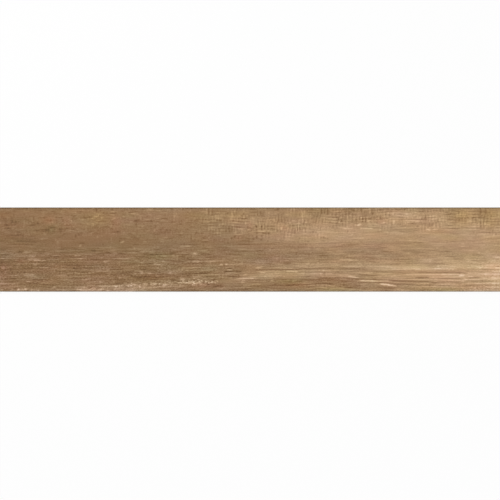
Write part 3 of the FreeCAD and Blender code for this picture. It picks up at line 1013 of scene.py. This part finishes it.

# What the print says at each point rides along as attributes. The bevel's lower rim repeats the face's
# border, made a little darker as painted shade on the slope. The ground sides and the back have no glaze.
BEVEL_PAINTED_SHADE = 0.10
printed = {"tone": tone, "lively": lively, "grain": grain * MM, "sawn": sawn, "worn": worn}
printed |= {"specked": specked, "ruddy": ruddy, "golden": golden}
for name, layer in printed.items():
    values = np.zeros(len(points), dtype=np.float32)
    values[: along.size] = layer.ravel()
    values[ring_number[0]] = layer.ravel()[border]
    if name == "tone":
        # The bevel's rim is darkened as painted shade.
        values[ring_number[0]] -= BEVEL_PAINTED_SHADE
    slab_mesh.attributes.new(name, "FLOAT", "POINT").data.foreach_set("value", values)
face_count = face_quads[..., 0].size
bevel_count = len(border)
glazed = np.zeros(len(polygons), dtype=np.float32)
glazed[: face_count + bevel_count] = 1
slab_mesh.attributes.new("glazed", "FLOAT", "FACE").data.foreach_set("value", glazed)

# How the surface unrolls to a flat sheet: the left and the right half of the face with their bevels, the
# back, and the four ground sides. Each has a rectangle of its own: the two axes that it keeps, and its
# lowest and highest corner as parts of the sheet.
polygon_x = np.empty(len(polygons) * 3)
slab_mesh.polygons.foreach_get("center", polygon_x)
polygon_x = polygon_x[::3]
side_steps = (FACE_STEPS_ALONG, FACE_STEPS_ACROSS) * 2
ground_sides = np.tile(np.repeat(("low", "right", "high", "left"), side_steps), 2)
sheet_part = np.full(len(polygons), "back", dtype="<U10")
half_name = np.where(polygon_x < 0, "face_left", "face_right")
sheet_part[: face_count + bevel_count] = half_name[: face_count + bevel_count]
sheet_part[face_count + bevel_count : face_count + 3 * bevel_count] = ground_sides
corner_count = np.empty(len(polygons), dtype=np.int32)
slab_mesh.polygons.foreach_get("loop_total", corner_count)
corner_part = np.repeat(sheet_part, corner_count)
corner_point = np.empty(len(slab_mesh.loops), dtype=np.int32)
slab_mesh.loops.foreach_get("vertex_index", corner_point)
SHEET_PARTS = {
    "face_left": ((0, 1), (0.004, 0.004), (0.996, 0.420)),
    "face_right": ((0, 1), (0.004, 0.428), (0.996, 0.844)),
    "back": ((0, 1), (0.004, 0.852), (0.996, 0.952)),
    "low": ((0, 2), (0.004, 0.960), (0.996, 0.970)),
    "high": ((0, 2), (0.004, 0.976), (0.996, 0.986)),
    "left": ((1, 2), (0.004, 0.990), (0.480, 0.998)),
    "right": ((1, 2), (0.520, 0.990), (0.996, 0.998)),
}
sheet = np.empty((len(corner_point), 2), dtype=np.float32)
for name, (axes, low, high) in SHEET_PARTS.items():
    chosen = corner_part == name
    flat = points[corner_point[chosen]][:, axes]
    sheet[chosen] = low + (flat - flat.min(0)) / np.ptp(flat, 0) * np.subtract(high, low)
slab_mesh.uv_layers.new(name="OFBake").data.foreach_set("uv", sheet.ravel())

# The face's furrows are shaded round, and the bevel, the arris and the cells keep their edges.
SHARP_EDGE = np.radians(25)
slab_mesh.polygons.foreach_set("use_smooth", np.ones(len(polygons), dtype=bool))
slab_mesh.set_sharp_from_angle(angle=SHARP_EDGE)
slab_mesh.update()


class Wire:
    """An output of a material's node. Sums and products of wires and numbers add Math nodes, and the node
    method adds any other kind."""

    def __init__(self, tree, socket=None):
        self.tree = tree
        self.socket = socket

    def node(self, kind, settings, sockets, output=0):
        """A new node of that kind: first its settings or its ramp's stops, then its sockets, each with a
        value or a wire. What comes back is the wire of the output asked for."""
        added = self.tree.nodes.new(kind)
        for name, value in settings.items():
            if name == "stops":
                ramp = added.color_ramp.elements
                while len(ramp) < len(value):
                    ramp.new(1)
                for stop, (place, colour) in zip(ramp, value):
                    stop.position = place
                    stop.color = colour
            else:
                setattr(added, name, value)
        for name, value in sockets.items():
            if isinstance(value, Wire):
                self.tree.links.new(value.socket, added.inputs[name])
            else:
                added.inputs[name].default_value = value
        return Wire(self.tree, added.outputs[output]) if len(added.outputs) else None

    def maths(self, operation, *values):
        """A Math node of that operation on values or wires."""
        return self.node("ShaderNodeMath", {"operation": operation}, dict(enumerate(values)))

    def __add__(self, other):
        return self.maths("ADD", self, other)

    def __sub__(self, other):
        return self.maths("SUBTRACT", self, other)

    def __rsub__(self, other):
        return self.maths("SUBTRACT", other, self)

    def __mul__(self, other):
        return self.maths("MULTIPLY", self, other)

    __radd__ = __add__
    __rmul__ = __mul__


def srgb(red, green, blue):
    """A colour as a paint chart gives it, from 0 to 255, turned to the light that it reflects."""
    part = np.array((red, green, blue)) / 255
    light = np.where(part <= 0.04045, part / 12.92, ((part + 0.055) / 1.055) ** 2.4)
    return (*light.tolist(), 1.0)


def empty_recipe(owner):
    """The node tree of a material or a sky, cleared, as a wire that its first nodes come from."""
    owner.use_nodes = True
    owner.node_tree.nodes.clear()
    return Wire(owner.node_tree)


# The ink and the glaze: brown and cream inks under a matt glaze. The bare body shows on the ground sides and
# the back, warm beige with fine grog in it, and the ribs keep a dusting of the white wash that stops them
# from sticking to the kiln's rollers.
porcelain = bpy.data.materials.new("printed_porcelain")
recipe = empty_recipe(porcelain)


def printed_layer(name):
    """What the mesh's attribute of that name says at each point."""
    return recipe.node("ShaderNodeAttribute", {"attribute_name": name}, {}, "Fac")


def noise(x, y, detail, roughness):
    """Soft random spots around 0: a noise of x and y, less its mean."""
    place = recipe.node("ShaderNodeCombineXYZ", {}, {"X": x, "Y": y})
    sockets = {"Vector": place, "Scale": 1.0, "Detail": detail, "Roughness": roughness}
    return recipe.node("ShaderNodeTexNoise", {}, sockets) - 0.5


def eased(start, end, value):
    """0 on the start's side and 1 on the end's side, with a cubic ease between them."""
    sockets = {"Value": value, "From Min": start, "From Max": end}
    return recipe.node("ShaderNodeMapRange", {"interpolation_type": "SMOOTHSTEP"}, sockets)


def blend(factor, first, second):
    """The first colour where the factor is 0 and the second where it is 1."""
    return recipe.node("ShaderNodeMix", {"data_type": "RGBA"}, {0: factor, 6: first, 7: second}, 2)


position = recipe.node("ShaderNodeTexCoord", {}, {}, "Object")
x, y, z = (recipe.node("ShaderNodeSeparateXYZ", {}, {"Vector": position}, axis) for axis in "XYZ")
fibre = printed_layer("grain")
life = printed_layer("lively")

# What is finer than the mesh. The number beside x, y or fibre is how many spots lie in a metre that way, so
# fibres are long and thin. A number that is added only moves a noise to a place of its own.
fibres = noise(x * 26, fibre * 460, 2.0, 0.65)
specks = noise(x * 240 + 2.0, fibre * 480, 1.0, 0.6)
hairs = noise(x * 70, fibre * 1700, 3.0, 0.7)
pores = eased(0.08, 0.2, noise(x * 110 + 7.0, fibre * 1300, 2.0, 0.5))
saw_dots = noise(x * 230 + 5.0, y * 220, 1.0, 0.5)
saw_columns = eased(0.0, 0.1, noise(x * 280 + y * 4, y * 12, 1.0, 0.5)) * noise(x * 50, y * 330, 1.0, 0.5)
saw_rows = eased(0.0, 0.1, noise(x * 12 + 3.0, y * 280, 1.0, 0.5)) * noise(x * 330 + 1.0, y * 50, 1.0, 0.5)
hatch = printed_layer("sawn") * (saw_dots * 0.4 + saw_columns * 1.6 + saw_rows * 1.2)
flecks = printed_layer("worn") * eased(0.06, 0.16, noise(x * 250 + 9.0, y * 400, 1.0, 0.5))

# How far each of them lifts or lowers the print's lightness, and the inks that give each lightness.
FIBRE_LIFT = 0.30
HAIR_LIFT = 0.26
PORE_DARKER = 0.08
HATCH_LIFT = 0.20
FLECK_LIFT = 0.17
inked = fibres * FIBRE_LIFT + specks * printed_layer("specked") + hairs * HAIR_LIFT - pores * PORE_DARKER
lightness = printed_layer("tone") + life * inked + hatch * HATCH_LIFT + flecks * FLECK_LIFT
brown_inks = recipe.node(
    "ShaderNodeValToRGB",
    {
        "stops": (
            (0.29, srgb(88, 58, 26)),
            (0.41, srgb(129, 95, 59)),
            (0.51, srgb(154, 122, 88)),
            (0.60, srgb(181, 147, 110)),
            (0.70, srgb(208, 174, 134)),
            (0.85, srgb(240, 211, 174)),
        )
    },
    {"Fac": lightness},
    "Color",
)
redder = printed_layer("ruddy")
yellower = printed_layer("golden")
lean = recipe.node(
    "ShaderNodeCombineXYZ", {}, {"X": 1 + redder * 0.07, "Y": 1 - redder * 0.03, "Z": 1 - yellower * 0.15}
)
print_colour = recipe.node(
    "ShaderNodeVectorMath", {"operation": "MULTIPLY"}, {0: brown_inks, 1: lean}, "Vector"
)

# The bare body, and the wash that lies on the ribs in a patchy dusting but not down in the cells.
CLAY_DARK = srgb(184, 163, 136)
CLAY_PALE = srgb(204, 185, 159)
KILN_WASH = srgb(226, 220, 209)
WASH_COVER = 0.75
WASH_FULL_BELOW = 0.05 * MM
WASH_GONE_ABOVE = 0.3 * MM
grog = noise(x * 1700 + z * 1100, y * 1700 + z * 1400, 3.0, 0.7)
fired_clay = blend(eased(-0.2, 0.2, grog), CLAY_DARK, CLAY_PALE)
dusted = noise(x * 60, y * 60, 3.0, 0.6) * 0.8 + noise(x * 420, y * 420, 2.0, 0.6) * 0.5
on_ribs = eased(WASH_GONE_ABOVE, WASH_FULL_BELOW, z) * eased(-0.12, 0.08, dusted)
bare_body = blend(on_ribs * WASH_COVER, fired_clay, KILN_WASH)

# The finish: a matt glaze that follows the fibres, and a rougher, sandy body where there is none.
GLAZE_ROUGHNESS = 0.46
BODY_ROUGHNESS = 0.82
GLAZE_SHINE = 0.28
BUMP_HEIGHT = 0.15 * MM
BUMP_STRENGTH = 0.5
glaze_mask = printed_layer("glazed")
colour = blend(glaze_mask, bare_body, print_colour)
roughness = glaze_mask * (GLAZE_ROUGHNESS + fibres * 0.25) + (1 - glaze_mask) * BODY_ROUGHNESS
glaze_height = fibres * 0.5 + hairs * 0.25 + hatch * 0.4 - pores * 0.3
height = glaze_mask * glaze_height + (1 - glaze_mask) * (grog * 0.15)
surface = recipe.node(
    "ShaderNodeBump", {}, {"Strength": BUMP_STRENGTH, "Distance": BUMP_HEIGHT, "Height": height}, "Normal"
)
glaze = recipe.node(
    "ShaderNodeBsdfPrincipled",
    {},
    {"Base Color": colour, "Roughness": roughness, "Specular IOR Level": GLAZE_SHINE, "Normal": surface},
    "BSDF",
)
recipe.node("ShaderNodeOutputMaterial", {}, {"Surface": glaze})

# The finished slab takes the place of the plain solid.
plank = bpy.data.objects.new("printed_plank", slab_mesh)
bpy.context.collection.objects.link(plank)
slab_mesh.materials.append(porcelain)
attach(plank, "root")
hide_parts("plank_tile")

# The studio floor is a sheet of matt white paper. The camera and reflections see it as white, and the rest
# of its brightness is plain paper, so it still takes the tile's shadow. It is cut out under the tile and
# clear from below, so that the back is lit and can be looked at.
FLOOR_HALF = 12.0
UNDER_TILE = 1 * MM
PAPER_WHITE = (0.92, 0.92, 0.92, 1.0)
PURE_WHITE = (1.0, 1.0, 1.0, 1.0)
PAPER_GLOW = 0.92
square = np.array(((-1, -1), (1, -1), (1, 1), (-1, 1)))
cut_out = square * (np.array((LENGTH, WIDTH)) / 2 - UNDER_TILE)
floor_points = np.concatenate((square * FLOOR_HALF, cut_out))
outer_corner = np.arange(4)
next_corner = (outer_corner + 1) % 4
floor_quads = np.stack((outer_corner, next_corner, next_corner + 4, outer_corner + 4), 1)
floor_mesh = bpy.data.meshes.new("floor")
floor_mesh.from_pydata(np.column_stack((floor_points, np.zeros(8))), [], floor_quads.tolist())
floor = bpy.data.objects.new("floor", floor_mesh)
bpy.context.collection.objects.link(floor)


def looked_at(backdrop):
    """1 where the camera looks, straight, in a reflection or through glass, and 0 for all other light."""
    straight, in_gloss, through_glass = (
        backdrop.node("ShaderNodeLightPath", {}, {}, f"Is {ray} Ray")
        for ray in ("Camera", "Glossy", "Transmission")
    )
    return straight + in_gloss + through_glass


white = bpy.data.materials.new("white_paper")
paper = empty_recipe(white)
seen = looked_at(paper) * PAPER_GLOW
matt = paper.node("ShaderNodeBsdfDiffuse", {}, {"Color": PAPER_WHITE})
glow = paper.node("ShaderNodeEmission", {}, {"Color": PURE_WHITE, "Strength": 1.0})
paper_face = paper.node("ShaderNodeMixShader", {}, {0: seen, 1: matt, 2: glow})
from_below = paper.node("ShaderNodeNewGeometry", {}, {}, "Backfacing")
clear = paper.node("ShaderNodeBsdfTransparent", {}, {})
sheet_of_paper = paper.node("ShaderNodeMixShader", {}, {0: from_below, 1: paper_face, 2: clear})
paper.node("ShaderNodeOutputMaterial", {}, {"Surface": sheet_of_paper})
floor_mesh.materials.append(white)

# The light: a white sky for even light, and two soft boxes, high on the left and lower on the right.
SKY_STRENGTH = 0.57
sky = bpy.data.worlds.new("soft_sky")
air = empty_recipe(sky)
even = air.node("ShaderNodeBackground", {}, {"Color": PURE_WHITE, "Strength": SKY_STRENGTH})
plain = air.node("ShaderNodeBackground", {}, {"Color": PURE_WHITE, "Strength": 1.0})
both = air.node("ShaderNodeMixShader", {}, {0: looked_at(air), 1: even, 2: plain})
air.node("ShaderNodeOutputWorld", {}, {"Surface": both})
bpy.context.scene.world = sky


def soft_box(name, place, size, watts):
    """A square lamp at that place, turned to face the origin."""
    lamp = bpy.data.lights.new(name, "AREA")
    lamp.size = size
    lamp.energy = watts
    holder = bpy.data.objects.new(name, lamp)
    holder.location = place
    direction = -holder.location
    holder.rotation_euler = direction.to_track_quat("-Z", "Y").to_euler()
    bpy.context.collection.objects.link(holder)


soft_box("key_box", place=(-1.6, 1.6, 2.6), size=1.6, watts=48)
soft_box("fill_box", place=(2.4, -1.8, 2.2), size=2.0, watts=22)

# The camera looks straight down through a long lens. The photograph's frame is 500 pixels wide and the plank
# stands 84.2 of them high, a little above the middle.
PLANK_PIXELS = 84.18
FRAME_PIXELS = 500
ROW_ABOVE_MIDDLE = 0.43
LENS = 100.0
SENSOR = 36.0
pixel = WIDTH / PLANK_PIXELS
camera_data = bpy.data.cameras.new("camera")
camera_data.lens = LENS
camera_data.sensor_width = SENSOR
camera = bpy.data.objects.new("camera", camera_data)
camera.location = (0, -ROW_ABOVE_MIDDLE * pixel, THICKNESS + FRAME_PIXELS * pixel * LENS / SENSOR)
bpy.context.collection.objects.link(camera)
bpy.context.scene.camera = camera
bpy.context.scene.view_settings.view_transform = "Standard"
